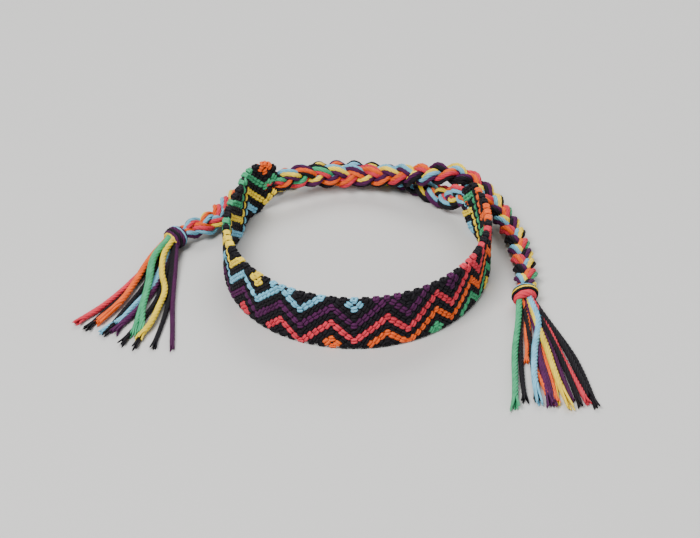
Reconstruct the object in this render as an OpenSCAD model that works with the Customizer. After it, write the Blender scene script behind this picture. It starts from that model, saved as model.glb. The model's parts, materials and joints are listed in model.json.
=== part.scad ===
// Knotted cotton bracelet. A flat knotted band stands on its lower edge as an open loop.
// A three-strand tie is braided from each end of the band. The two ties cross at the back,
// and each one ends in an overhand knot and a tassel that lies on the table.
// X runs to the right, Y runs away from the front of the loop, Z is up from the table.

/* [Band] */
// Height of the knotted band, from edge to edge
band_h = 13.3; // [12:0.1:14]
// Thickness of the knotted band
band_t = 2; // [1.6:0.1:2.2]
// Height of the band where its strings are gathered into a tie
gather_h = 6.4; // [5:0.1:8]
// Length over which each end of the band narrows
gather_l = 4.5; // [4:0.5:12]
// How much the long edges of the band are rounded
edge_round = 0.4; // [0.1:0.05:0.6]

/* [Loop] */
// Mean radius of the loop, to the middle of the band
loop_r = 31.5; // [30.5:0.1:32.5]
// How much deeper than wide the loop stands
loop_depth = 1.7; // [1.2:0.1:2.2]
// How far the loop bulges towards the back
loop_back = 1.7; // [1.2:0.1:2.2]
// Turn of the oval against the front
loop_skew = 0.4; // [0:0.1:0.8]
// How far the loop stands out near its left end
left_bulge = 2.2; // [0:0.1:2.4]
// Direction of the band's right end, anticlockwise from the right
right_end = 40; // [38:0.5:42]
// Direction of the band's left end, anticlockwise from the right
left_end = 124; // [119:0.1:125]

/* [Ties] */
// Length of braid in which a strand goes from edge to edge and back
braid_pitch = 12.5; // [11:0.1:14]
// How far round its path the first strand of the right tie is where it leaves the band
right_turn = 25; // [0:5:355]
// How far round its path the first strand of the left tie is where it leaves the band
left_turn = 260; // [0:5:355]
// Sideways swing of a strand from the middle of the braid
swing_w = 1.35; // [1.3:0.05:1.6]
// Swing of a strand through the thickness of the braid
swing_n = 0.9; // [0.85:0.05:1]
// Half the width of one loose strand
strand_w = 1.6; // [1.2:0.05:1.6]
// Half the thickness of one loose strand
strand_n = 1.25; // [0.9:0.05:1.25]

/* [Knots and tassels] */
// Width of a tied knot
knot_w = 5.8; // [5:0.1:6.4]
// Height of a tied knot
knot_h = 4.9; // [4:0.1:5.4]
// Length of a tied knot along the tie
knot_l = 3.8; // [3:0.1:4.5]
// Thickness of one lock of a tassel
lock_d = 1.7; // [1.4:0.1:2]

/* [Hidden] */

gap = 0.3;              // clearance where one piece follows another
plan_steps = 84;        // flats round the band
bulge_turn = 136;       // direction in which the loop stands out most
bulge_reach = 18;       // degrees to each side over which that bulge fades
edge_steps = 2;         // layers in each rounded edge
span_steps = 10;        // points between two rows of a route
start_step = 1.35;      // length between the first two rows of a tie
ring_step = 0.72;       // length of braid from one ring of a strand to the next
bend_rings = 2;         // rings to each side over which a bend of a tie is evened out
strand_sides = 8;
strand_gap = 0.62;      // clearance between the pressed sides of two strands
turned_over = 180;      // degrees by which the left tie is turned over against the right one
start_thin = 0.6;       // share of the braid's thickness at the band
thin_l = 6;             // length over which it reaches the full thickness
end_drawn = 0.72;       // share of the braid's size at the knot
drawn_l = 5;            // length over which it shrinks to that
knot_sides = 20;
knot_rings = 10;
knot_turns = 3;         // strings seen side by side in the wrap
ridge = 0.16;           // depth of the grooves between them
shoulder = 2.4;         // squareness of the knot's shoulders, 2 for a round barrel
mouth_share = 0.5;      // width of the knot's mouth as a share of its full width
lock_sides = 6;
lock_steps = 5;
lock_stagger = 0.5;     // height between neighbouring locks in the mouth of a knot
lock_thinner = 0.05;    // locks differ in thickness by this share
head_r = 2;             // gathered strings in the mouth of a knot

// Middle of the right tie, from the left end of the band along the back to the right knot.
// The ties are laid out for a loop of this radius.
route_r = 31.5;
// Columns: x, y, z, lean of the braid's width from upright, to the left of its run.
right_route = [
    [-12.6, 31.6,  6.2,   8],
    [ -8.4, 33.2,  5.2,  20],
    [ -3.0, 34.4,  4.5,  25],
    [  4.0, 34.2,  4.6,  26],
    [ 10.5, 32.4,  5.9,  36],
    [ 15.5, 30.4,  7.4,  54],
    [ 20.0, 29.2,  8.4,  70],
    [ 24.5, 28.7,  8.2,  72],
    [ 28.3, 27.0,  6.3,  72],
    [ 31.0, 24.0,  5.0,  70],
    [ 33.6, 19.3,  3.8,  75],
    [ 36.2, 12.6,  2.9,  82],
    [ 37.7,  4.2,  2.5,  88],
    [ 38.4, -4.4,  2.5,  90],
    [ 38.0, -11.9, 2.6,  90]
];
// Middle of the left tie, from the right end of the band under the other tie, behind it,
// and round the outside of the band to the left knot.
left_route = [
    [ 23.0, 24.4,  4.4,  -22],
    [ 21.1, 27.0,  2.8,  -50],
    [ 17.9, 30.1,  2.4,  -75],
    [ 13.9, 34.2,  2.3,  -90],
    [  9.0, 37.8,  2.3,  -90],
    [  3.2, 39.8,  2.3,  -90],
    [ -4.0, 40.5,  2.3,  -90],
    [-11.2, 39.4,  2.3,  -90],
    [-18.0, 36.2,  2.3,  -90],
    [-24.0, 31.4,  2.6,  -80],
    [-28.6, 25.4,  3.2,  -65],
    [-31.0, 20.4,  3.6,  -55],
    [-32.8, 16.6,  3.6,  -55],
    [-35.6, 14.2,  3.4,  -60],
    [-38.4, 12.9,  3.2,  -65],
    [-40.5, 11.6,  2.9,  -65]
];
right_knot_at = [37.8, -14.1, 2.6];
right_knot_turn = -4;    // degrees that the knot's mouth turns to the right of straight forward
left_knot_at = [-42.1, 9.6, 2.8];
left_knot_turn = -38;

// Locks of the right tassel. Columns: x and y of the tip, sideways bow, start across the mouth.
right_locks = [
    [33.6, -55.0, -1.2, -1.0],
    [36.2, -53.2, -0.4, -0.7],
    [38.8, -53.9,  0.3, -0.4],
    [41.0, -54.6,  0.8, -0.1],
    [42.9, -53.2,  0.9,  0.2],
    [44.9, -55.4,  1.1,  0.5],
    [47.2, -53.6,  1.3,  0.7],
    [49.3, -54.2,  1.6,  0.9],
    [51.3, -55.4,  2.2,  1.1]
];
// Locks of the left tassel, with the same columns.
left_locks = [
    [-62.6, -23.5,  0.6, -1.1],
    [-60.6, -26.4,  0.4, -0.9],
    [-58.2, -24.2,  0.4, -0.7],
    [-55.6, -27.8,  1.2, -0.3],
    [-53.4, -23.8,  1.0,  0.0],
    [-48.6, -29.6,  1.2,  0.4],
    [-55.4, -32.6,  3.0,  0.6],
    [-51.8, -31.6,  2.6,  0.8],
    [-41.0, -34.0,  1.0,  1.1]
];

route_scale = loop_r / route_r;

function unit(v) = v / norm(v);
function xyz(row) = [row.x, row.y, row[2]];

// Radius, place and anticlockwise direction of the middle of the band, seen from above.
function bulge(t) = cos(t - bulge_turn) > cos(bulge_reach)
    ? left_bulge / 2 * (1 + cos(180 / bulge_reach * (t - bulge_turn))) : 0;
function plan_r(t) = loop_r + loop_back * sin(t) - loop_depth * cos(2 * t) + loop_skew * sin(2 * t)
    + bulge(t);
function plan_at(t) = plan_r(t) * [cos(t), sin(t)];
function plan_dir(t) = unit(plan_at(t + 0.2) - plan_at(t - 0.2));
function plan_side(t, off) = plan_at(t) + off * [plan_dir(t).y, -plan_dir(t).x];

// The wall is drawn a little too long, and its ends are cut square.
over = 1;               // degrees of that extra length
band_sweep = 360 - (left_end - right_end) + 2 * over;
function band_angle(i) = right_end + over - band_sweep * i / plan_steps;

// Outline of the band from above, for a wall of the given thickness.
function band_outline(t) = concat(
    [for (i = [0 : plan_steps]) plan_side(band_angle(i), t / 2)],
    [for (i = [plan_steps : -1 : 0]) plan_side(band_angle(i), -t / 2)]
);

// A smooth curve through the rows of a route, span_steps points a span.
function blend_row(a, b, c, d, u) =
    0.5 * (2 * b + (c - a) * u + (2 * a - 5 * b + 4 * c - d) * u * u
           + (-a + 3 * b - 3 * c + d) * u * u * u);
function row_at(rows, i) =
    i < 0 ? 2 * rows[0] - rows[1]
    : i < len(rows) ? rows[i]
    : 2 * rows[len(rows) - 1] - rows[len(rows) - 2];
function smooth(rows) = [
    for (i = [0 : len(rows) - 2], k = [0 : span_steps - 1])
        blend_row(row_at(rows, i - 1), rows[i], rows[i + 1], row_at(rows, i + 2), k / span_steps),
    rows[len(rows) - 1]
];
function run_lengths(path) = [
    for (i = 0, s = 0; i < len(path);
         s = s + (i + 1 < len(path) ? norm(xyz(path[i + 1]) - xyz(path[i])) : 0), i = i + 1) s
];
// The same curve in equal steps of about ring_step.
function even(path) =
    let (runs = run_lengths(path), whole = runs[len(runs) - 1], n = ceil(whole / ring_step))
    [for (i = [0 : n]) [for (c = [0 : 3])
        lookup(whole * i / n, [for (k = [0 : len(path) - 1]) [runs[k], path[k][c]]])]];

// First rows of a tie, just past an end of the band and in line with it.
function start_rows(t, way) = [
    for (off = [gap, gap + start_step, gap + 1.6 * start_step])
        let (p = plan_at(t) + way * off * plan_dir(t)) [p.x, p.y, band_h / 2, 0]
];
function scaled_rows(rows) =
    [for (r = rows) [r.x * route_scale, r.y * route_scale, r[2], r[3]]];
function turned_rows(rows) = [for (r = rows) [r.x, r.y, r[2], r[3] + turned_over]];

// Direction of a path at point i, then its level side and the braid's width direction.
function path_dir(path, i) =
    unit(xyz(path[min(i + bend_rings, len(path) - 1)]) - xyz(path[max(i - bend_rings, 0)]));
function level_side(d) = unit(cross(d, [0, 0, 1]));
function braid_width(d, lean) = cross(level_side(d), d) * cos(lean) - level_side(d) * sin(lean);

// The braid is thin where it leaves the band and drawn in where it enters the knot.
function thin(s) = min(1, start_thin + (1 - start_thin) * s / thin_l);
function draw_in(s, whole) = min(1, end_drawn + (1 - end_drawn) * (whole - s) / drawn_l);

// Middle of a strand in the cross-section of the braid, across its width and its thickness.
function strand_at(t) = [swing_w * sin(t), -swing_n * sin(2 * t)];
// A loose strand is an ellipse. Where it meets another, both are pressed flat between them.
function room(e, other) =
    let (q = e * unit(other)) q > 0.05 ? (norm(other) - strand_gap) / 2 / q : strand_w;
function reach(t, e) =
    let (c = strand_at(t))
    min(1 / norm([e.x / strand_w, e.y / strand_n]),
        room(e, strand_at(t + 120) - c), room(e, strand_at(t + 240) - c));
function strand_section(t) = [
    for (k = [0 : strand_sides - 1])
        let (e = [cos(360 * k / strand_sides), sin(360 * k / strand_sides)])
        strand_at(t) + reach(t, e) * e
];
function strand_rings(path, phase) =
    let (runs = run_lengths(path), whole = runs[len(runs) - 1])
    [for (i = [0 : len(path) - 1])
        let (d = path_dir(path, i),
             w = braid_width(d, path[i][3]),
             n = cross(d, w),
             f = draw_in(runs[i], whole),
             g = f * thin(runs[i]))
        [for (q = strand_section(360 * runs[i] / braid_pitch + phase))
            xyz(path[i]) + f * q.x * w + g * q.y * n]];

// Closed skin over rings that all have the same number of points.
function skin_faces(rings, sides) = concat(
    [for (r = [0 : rings - 2], k = [0 : sides - 1])
        let (a = r * sides + k, b = r * sides + (k + 1) % sides) [a, a + sides, b]],
    [for (r = [0 : rings - 2], k = [0 : sides - 1])
        let (a = r * sides + k, b = r * sides + (k + 1) % sides) [b, a + sides, b + sides]],
    [for (k = [1 : sides - 2]) [0, k, k + 1]],
    [for (k = [1 : sides - 2]) let (e = (rings - 1) * sides) [e, e + k + 1, e + k]]
);
module skin(rings) {
    polyhedron(points = [for (r = rings, p = r) p],
               faces = skin_faces(len(rings), len(rings[0])));
}

// The band as a wall t thick that stops short of both long edges.
module band_wall(t, short) {
    translate([0, 0, short]) linear_extrude(band_h - 2 * short) polygon(band_outline(t));
}
// Cut that ends the band squarely and narrows it above and below towards that end.
module end_cut(t, way) {
    p = plan_at(t);
    d = plan_dir(t);
    low = (band_h - gather_h) / 2;
    past = 0.4;     // share of the slope by which the cut runs past both faces
    wide = 3 * band_t;
    multmatrix([[-way * d.x, way * d.y, 0, p.x], [-way * d.y, -way * d.x, 0, p.y],
                [0, 0, 1, 0], [0, 0, 0, 1]])
        rotate([90, 0, 0]) translate([0, 0, -wide / 2]) linear_extrude(wide) {
            translate([-gather_l, -1]) square([gather_l, band_h + 2]);
            for (edge = [0, 1])
                translate([0, edge * band_h]) mirror([0, edge])
                    polygon([[-past * gather_l, -past * low], [(1 + past) * gather_l, -past * low],
                             [-past * gather_l, (1 + past) * low]]);
        }
}
module band() {
    color([0.11, 0.09, 0.13]) difference() {
        union() {
            band_wall(band_t, edge_round);
            for (i = [0 : edge_steps - 1]) {
                inset = edge_round * (1 - sin(90 * (i + 0.5) / edge_steps));
                band_wall(band_t - 2 * inset, edge_round * i / edge_steps);
            }
        }
        end_cut(right_end, 1);
        end_cut(left_end, -1);
    }
}

module right_tie_strand(k) {
    rows = concat(start_rows(left_end, -1), scaled_rows(right_route));
    skin(strand_rings(even(smooth(rows)), 120 * k + right_turn));
}
module left_tie_strand(k) {
    rows = concat(start_rows(right_end, 1), scaled_rows(left_route));
    skin(strand_rings(even(smooth(turned_rows(rows))), 120 * k + left_turn));
}
module right_tie_strand_1() { color([0.36, 0.16, 0.42]) right_tie_strand(0); }
module right_tie_strand_2() { color([0.93, 0.43, 0.22]) right_tie_strand(1); }
module right_tie_strand_3() { color([0.56, 0.80, 0.88]) right_tie_strand(2); }
module left_tie_strand_1() { color([0.90, 0.36, 0.40]) left_tie_strand(0); }
module left_tie_strand_2() { color([0.88, 0.82, 0.36]) left_tie_strand(1); }
module left_tie_strand_3() { color([0.38, 0.66, 0.52]) left_tie_strand(2); }

// Overhand knot: a short flattened barrel, grooved between the strings of its slanting wrap.
function knot_ring(u, lift) = [
    for (k = [0 : knot_sides - 1])
        let (t = 360 * k / knot_sides,
             barrel = pow(max(0, 1 - pow(abs(2 * u - 1), shoulder)), 1 / shoulder),
             full = mouth_share + (1 - mouth_share) * barrel,
             groove = 1 - ridge * barrel * (1 - abs(sin(180 * knot_turns * u + lift * cos(t)))))
        [knot_w / 2 * full * groove * cos(t), knot_l * (0.5 - u), knot_h / 2 * full * groove * sin(t)]
];
module knot(lift) {
    skin([for (i = [0 : knot_rings]) knot_ring(i / knot_rings, lift)]);
}
module at_knot(place, turn) {
    translate([place.x * route_scale, place.y * route_scale, place.z]) rotate([0, 0, turn])
        children();
}
module right_knot() {
    color([0.86, 0.36, 0.34]) at_knot(right_knot_at, right_knot_turn) knot(50);
}
module left_knot() {
    color([0.42, 0.30, 0.50]) at_knot(left_knot_at, left_knot_turn) knot(-40);
}

// A tassel: locks that start side by side in the knot's mouth, drop to the table and fan out.
function lock_point(from, tip, bow, d, u) =
    let (along = unit([tip.x - from.x, tip.y - from.y, 0]),
         across = [-along.y, along.x, 0],
         drop = pow(1 - u, 3))
    [from.x + (tip.x - from.x) * u, from.y + (tip.y - from.y) * u, d / 2 + (from.z - d / 2) * drop]
    + bow * sin(180 * u) * across;
module bead(at, turn, d) {
    translate(at) rotate([0, 0, turn]) sphere(d = d, $fn = lock_sides);
}
module lock(from, tip, bow, d) {
    turn = atan2(tip.y - from.y, tip.x - from.x);
    for (i = [0 : lock_steps - 1])
        hull() {
            bead(lock_point(from, tip, bow, d, i / lock_steps), turn, d);
            bead(lock_point(from, tip, bow, d, (i + 1) / lock_steps), turn, d);
        }
}
module tassel(place, turn, locks) {
    mouth = knot_l / 2 + gap + lock_d / 2;
    middle = [place.x * route_scale + mouth * sin(turn), place.y * route_scale - mouth * cos(turn),
              place.z];
    across = [cos(turn), sin(turn), 0];
    union() {
        hull()
            for (s = [-1, 1])
                bead(middle + s * (head_r - lock_d / 2) * across, turn, lock_d);
        for (i = [0 : len(locks) - 1])
            let (row = locks[i], high = lock_stagger * (i % 2 - 0.5))
                lock(middle + row[3] * across + [0, 0, high], [row.x, row.y], row[2],
                     lock_d * (1 - lock_thinner * (i % 3)));
    }
}
module right_tassel() {
    color([0.60, 0.80, 0.86]) tassel(right_knot_at, right_knot_turn, right_locks);
}
module left_tassel() {
    color([0.90, 0.84, 0.36]) tassel(left_knot_at, left_knot_turn, left_locks);
}

band();
right_tie_strand_1();
right_tie_strand_2();
right_tie_strand_3();
left_tie_strand_1();
left_tie_strand_2();
left_tie_strand_3();
right_knot();
left_knot();
right_tassel();
left_tassel();
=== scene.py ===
import bpy
import json
import random
from bisect import bisect
from math import ceil, cos, pi, radians, sin, sqrt
from mathutils import Matrix, Vector

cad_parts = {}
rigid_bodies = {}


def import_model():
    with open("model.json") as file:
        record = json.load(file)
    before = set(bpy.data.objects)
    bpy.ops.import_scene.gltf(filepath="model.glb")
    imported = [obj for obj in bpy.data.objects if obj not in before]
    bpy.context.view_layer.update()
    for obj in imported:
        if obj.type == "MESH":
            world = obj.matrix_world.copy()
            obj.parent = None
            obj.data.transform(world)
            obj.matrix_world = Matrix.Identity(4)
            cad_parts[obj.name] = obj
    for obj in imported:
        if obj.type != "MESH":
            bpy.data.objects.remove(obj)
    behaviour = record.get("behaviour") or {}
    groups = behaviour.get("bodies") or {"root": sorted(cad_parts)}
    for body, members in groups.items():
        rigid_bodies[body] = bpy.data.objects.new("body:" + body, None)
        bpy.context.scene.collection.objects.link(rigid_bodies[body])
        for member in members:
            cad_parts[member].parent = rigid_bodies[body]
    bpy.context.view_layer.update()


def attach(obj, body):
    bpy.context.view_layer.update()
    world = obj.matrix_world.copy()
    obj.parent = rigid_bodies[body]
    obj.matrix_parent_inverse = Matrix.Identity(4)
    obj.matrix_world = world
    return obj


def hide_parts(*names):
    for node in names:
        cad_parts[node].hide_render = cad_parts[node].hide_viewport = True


# Cotton bracelet: a band of small knots, two braided ties, two tied knots, two tassels.
# X runs to the right, Y away from the front of the loop, Z up from the table. Metres.
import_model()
for name in ("Cube", "Light", "Camera"):  # what a new Blender file starts with
    if name in bpy.data.objects:
        bpy.data.objects.remove(bpy.data.objects[name])
mm = 0.001
upward = Vector((0, 0, 1))

view = {
    "place": (-1.61 * mm, -545.0 * mm, 354.2 * mm),
    "down": 33,  # degrees below level
    "lens": 145.4, "nearest": 0.01,
}
studio = {
    "floor": 3.0,  # its width
    "floorColour": (0.62, 0.61, 0.59, 1), "floorRoughness": 0.7,
    "sky": (0.80, 0.83, 0.88, 1), "skyLight": 0.34,
    # name: place, watts, width of the lamp
    "lamps": {
        "key": ((-0.32, -0.38, 0.75), 11.0, 0.42),
        "fill": ((0.62, -0.45, 0.42), 2.6, 0.60),
        "back": ((0.10, 0.62, 0.55), 4.5, 0.45),
    },
}
# Dyes of the embroidery cotton: record slot, darker colour painted into the grooves as shade,
# colour of the thread.
dyes = {
    "black": ("black_cotton", (0.0008, 0.0005, 0.0010), (0.0060, 0.0042, 0.0075)),
    "orange": ("orange_cotton", (0.42, 0.028, 0.002), (0.92, 0.135, 0.012)),
    "pink": ("pink_cotton", (0.26, 0.006, 0.016), (0.72, 0.040, 0.070)),
    "purple": ("purple_cotton", (0.016, 0.0012, 0.014), (0.078, 0.008, 0.066)),
    "lightBlue": ("light_blue_cotton", (0.035, 0.16, 0.25), (0.21, 0.56, 0.74)),
    "green": ("green_cotton", (0.006, 0.11, 0.045), (0.055, 0.40, 0.18)),
    "yellow": ("yellow_cotton", (0.46, 0.27, 0.006), (0.95, 0.70, 0.045)),
}
dyeNames = list(dyes)


def addObject(name, data):
    made = bpy.data.objects.new(name, data)
    bpy.context.collection.objects.link(made)
    return made


class Wire:
    # one output of a node tree, so that sums on it are written as sums
    def __init__(self, tree, socket=None):
        self.tree, self.socket = tree, socket

    # any node: its type, the values or links of its inputs, its output and its settings
    def node(self, kind, inputs=None, output=0, **settings):
        made = self.tree.nodes.new(kind)
        for name, value in settings.items():
            setattr(made, name, value)
        for name, value in (inputs or {}).items():
            if isinstance(value, Wire):
                self.tree.links.new(value.socket, made.inputs[name])
            else:
                made.inputs[name].default_value = value
        return Wire(self.tree, made.outputs[output])

    def other(self, output):
        return Wire(self.tree, self.socket.node.outputs[output])

    def maths(self, operation, *values):
        return self.node("ShaderNodeMath", dict(enumerate(values)), operation=operation)

    def vectors(self, operation, *values):
        return self.node("ShaderNodeVectorMath", dict(enumerate(values)), operation=operation)

    def scaled(self, vector, factor):
        return self.node("ShaderNodeVectorMath", {0: vector, "Scale": factor}, operation="SCALE")

    def named(self, name, kind="FLOAT"):
        return self.node("GeometryNodeInputNamedAttribute", {"Name": name}, data_type=kind)

    def stored(self, geometry, name, value, domain, kind="FLOAT"):
        return self.node("GeometryNodeStoreNamedAttribute",
                         {"Geometry": geometry, "Name": name, "Value": value},
                         data_type=kind, domain=domain)

    # a chance number or vector between two others
    def chance(self, low, high, seed, **more):
        first, kind = (0, "FLOAT_VECTOR") if isinstance(low, tuple) else (2, "FLOAT")
        return self.node("FunctionNodeRandomValue",
                         {first: low, first + 1: high, "Seed": seed, **more},
                         first // 2, data_type=kind)

    def __add__(self, other):
        return self.maths("ADD", self, other)

    def __radd__(self, other):
        return self.maths("ADD", other, self)

    def __sub__(self, other):
        return self.maths("SUBTRACT", self, other)

    def __rsub__(self, other):
        return self.maths("SUBTRACT", other, self)

    def __mul__(self, other):
        return self.maths("MULTIPLY", self, other)

    def __rmul__(self, other):
        return self.maths("MULTIPLY", other, self)

    def __truediv__(self, other):
        return self.maths("DIVIDE", self, other)


# Embroidery cotton. The thread attribute holds the run along a ply and the turn round it,
# and the lot attribute is a chance number of each string.
cottonLook = {
    "streakRun": 420,  # streaks to the metre along the thread
    "streakRound": 2.6,  # streaks round it
    "streakShift": (31, 17),  # moves them from string to string
    "streakRange": (0.30, 0.56),
    "streakNoise": {"Scale": 1.0, "Detail": 3.0, "Roughness": 0.6}, "detail": 2.0,
    "groove": 0.25,  # share of the dye that the grooves keep under their painted shade
    "patch": 160,  # uneven dye, patches to the metre
    "patchSpread": 0.32,
    "lint": 5200,  # specks of lint to the metre
    "lintRange": (0.60, 0.74),
    "lintShare": 0.35,
    "lintPale": (0.55, 0.30, 0.02),  # share of the dye, of its strongest part, and white
    "lotSpread": 0.22,  # difference in brightness from string to string
    "roughness": 0.82,
    "streakGloss": 0.22,  # how much smoother the streaks are
    "gloss": 0.22, "sheen": 0.09, "sheenRoughness": 0.45,
    "bump": 0.05 * mm, "bumpStrength": 0.7, "bumpLint": 0.2,
}


def makeCotton(name):
    slot, paintedGrooveShade, dye = dyes[name]
    look = cottonLook
    material = bpy.data.materials.new(name + "Cotton")
    material.use_nodes = True
    tree = material.node_tree
    tree.nodes.clear()
    graph = Wire(tree)
    thread = graph.node("ShaderNodeAttribute", output="Vector", attribute_name="thread")
    lot = graph.node("ShaderNodeAttribute", output="Fac", attribute_name="lot")
    place = graph.node("ShaderNodeTexCoord", output="Object")
    parts = graph.node("ShaderNodeSeparateXYZ", {0: thread})
    turn = parts.other("Y") * (2 * pi)
    shiftRun, shiftRound = look["streakShift"]
    streakPlace = graph.node("ShaderNodeCombineXYZ", {
        "X": parts * look["streakRun"] + lot * shiftRun,
        "Y": turn.maths("COSINE", turn) * look["streakRound"],
        "Z": turn.maths("SINE", turn) * look["streakRound"] + lot * shiftRound})
    streak = graph.node("ShaderNodeTexNoise", {"Vector": streakPlace, **look["streakNoise"]})
    patch, lint = [graph.node("ShaderNodeTexNoise", {
        "Vector": place, "Scale": look[label], "Detail": look["detail"]})
        for label in ("patch", "lint")]
    fibreAndGrooveShade, speck = [graph.node("ShaderNodeMapRange", {
        "Value": value, "From Min": look[label][0], "From Max": look[label][1]})
        for value, label in ((streak, "streakRange"), (lint, "lintRange"))]
    ofDye, ofStrongest, white = look["lintPale"]
    pale = tuple(min(1, ofDye * part + ofStrongest * max(dye) + white) for part in dye)
    # The fibre streaks vary the thread's tone, and the grooves between them take the darker
    # colour as painted shade.
    coloured = graph.node("ShaderNodeMix", {
        "Factor": look["groove"] + (1 - look["groove"]) * fibreAndGrooveShade, 6: (*paintedGrooveShade, 1), 7: (*dye, 1)},
        2, data_type="RGBA")
    flecked = graph.node("ShaderNodeMix", {
        "Factor": speck * look["lintShare"], 6: coloured, 7: (*pale, 1)}, 2, data_type="RGBA")
    strength = (1 - look["lotSpread"] / 2 - look["patchSpread"] / 2
                + lot * look["lotSpread"] + patch * look["patchSpread"])
    shaded = graph.node("ShaderNodeHueSaturation", {"Value": strength, "Color": flecked})
    height = (1 - look["bumpLint"]) * streak + look["bumpLint"] * lint
    bump = graph.node("ShaderNodeBump", {
        "Strength": look["bumpStrength"], "Distance": look["bump"], "Height": height})
    surface = graph.node("ShaderNodeBsdfPrincipled", {
        "Base Color": shaded, "Normal": bump,
        "Roughness": look["roughness"] - look["streakGloss"] * streak,
        "Specular IOR Level": look["gloss"],
        "Sheen Weight": look["sheen"], "Sheen Roughness": look["sheenRoughness"],
        "Sheen Tint": (*pale, 1)})
    tree.links.new(surface.socket, tree.nodes.new("ShaderNodeOutputMaterial").inputs["Surface"])
    return material


cotton = {name: makeCotton(name) for name in dyeNames}
print("cotton dyed")


# Starts a tree whose inputs have the names and the kinds of some values.
def startTree(name, values):
    tree = bpy.data.node_groups.new(name, "GeometryNodeTree")
    face = tree.interface
    for way in ("INPUT", "OUTPUT"):
        face.new_socket("Geometry", in_out=way, socket_type="NodeSocketGeometry")
    kinds = {int: "NodeSocketInt", float: "NodeSocketFloat", type(None): "NodeSocketObject"}
    for label, value in values.items():
        face.new_socket(label, in_out="INPUT", socket_type=kinds[type(value)])
    outputs = tree.nodes.new("NodeGroupInput").outputs
    return Wire(tree), {socket.name: Wire(tree, socket) for socket in outputs if socket.name}


# Ends a tree: smooth faces, each in the cotton of its dye number.
def endTree(graph, geometry):
    geometry = graph.node("GeometryNodeSetShadeSmooth", {"Geometry": geometry})
    number = graph.named("dye", "INT")
    for index, name in enumerate(dyeNames):
        inputs = {"Geometry": geometry, "Material": cotton[name]}
        if index:
            inputs["Selection"] = graph.node("FunctionNodeCompare", {2: number, 3: index},
                                             data_type="INT", operation="EQUAL")
        geometry = graph.node("GeometryNodeSetMaterial", inputs)
    graph.tree.links.new(geometry.socket, graph.tree.nodes.new("NodeGroupOutput").inputs[0])
    return graph.tree


# Runs a tree on a mesh and returns what it makes as a plain mesh object.
def grow(name, start, tree, values):
    source = addObject(name + "Start", start)
    modifier = source.modifiers.new(tree.name, "NODES")
    modifier.node_group = tree
    for item in tree.interface.items_tree:
        if item.in_out == "INPUT" and item.name in values:
            modifier[item.identifier] = values[item.name]
    bpy.context.view_layer.update()
    solved = source.evaluated_get(bpy.context.evaluated_depsgraph_get())
    mesh = bpy.data.meshes.new_from_object(solved)
    mesh.name = name
    bpy.data.objects.remove(source)
    print(name, "triangles:", sum(len(face.vertices) - 2 for face in mesh.polygons))
    return addObject(name, mesh)


def addAttribute(mesh, name, kind, values, domain="POINT"):
    attribute = mesh.attributes.new(name, kind, domain)
    if kind == "FLOAT_VECTOR":
        attribute.data.foreach_set("vector", [part for value in values for part in value])
    else:
        attribute.data.foreach_set("value", values)


flossLook = {
    "Plies": 5, "Ply Share": 0.44, "Lay Share": 0.56, "Twist Length": 6.5 * mm, "Fray": 1.0,
    "Sides": 5, "Hairs": 260000.0, "Hair Length": 0.8 * mm, "Hair Radius": 0.018 * mm, "Seed": 7,
}
# How far the plies of a cut end stray, in radii of the string, how much thinner they get, and
# how fast they unwind and open.
strayLook = {"low": (-1, -1, -0.3), "high": (1, 1, 0.6), "thinner": 0.35, "unwind": 3,
             "opening": 1.5}
# Shape of a stray fibre, its shortest length, how far it leans and turns.
hairLook = {
    "curve": {"Start": (0, 0, 0), "Start Handle": (0, 0, 0.4), "End Handle": (0.25, 0, 0.75),
              "End": (0.7, 0.1, 0.9), "Resolution": 4},
    "sides": 3, "shortest": 0.45, "lean": 0.9, "turn": 3.1,
}
weldGap = 0.0001 * mm
floorGap = 0.02 * mm  # between the table and the lowest fibre
farDown = -10.0


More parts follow.
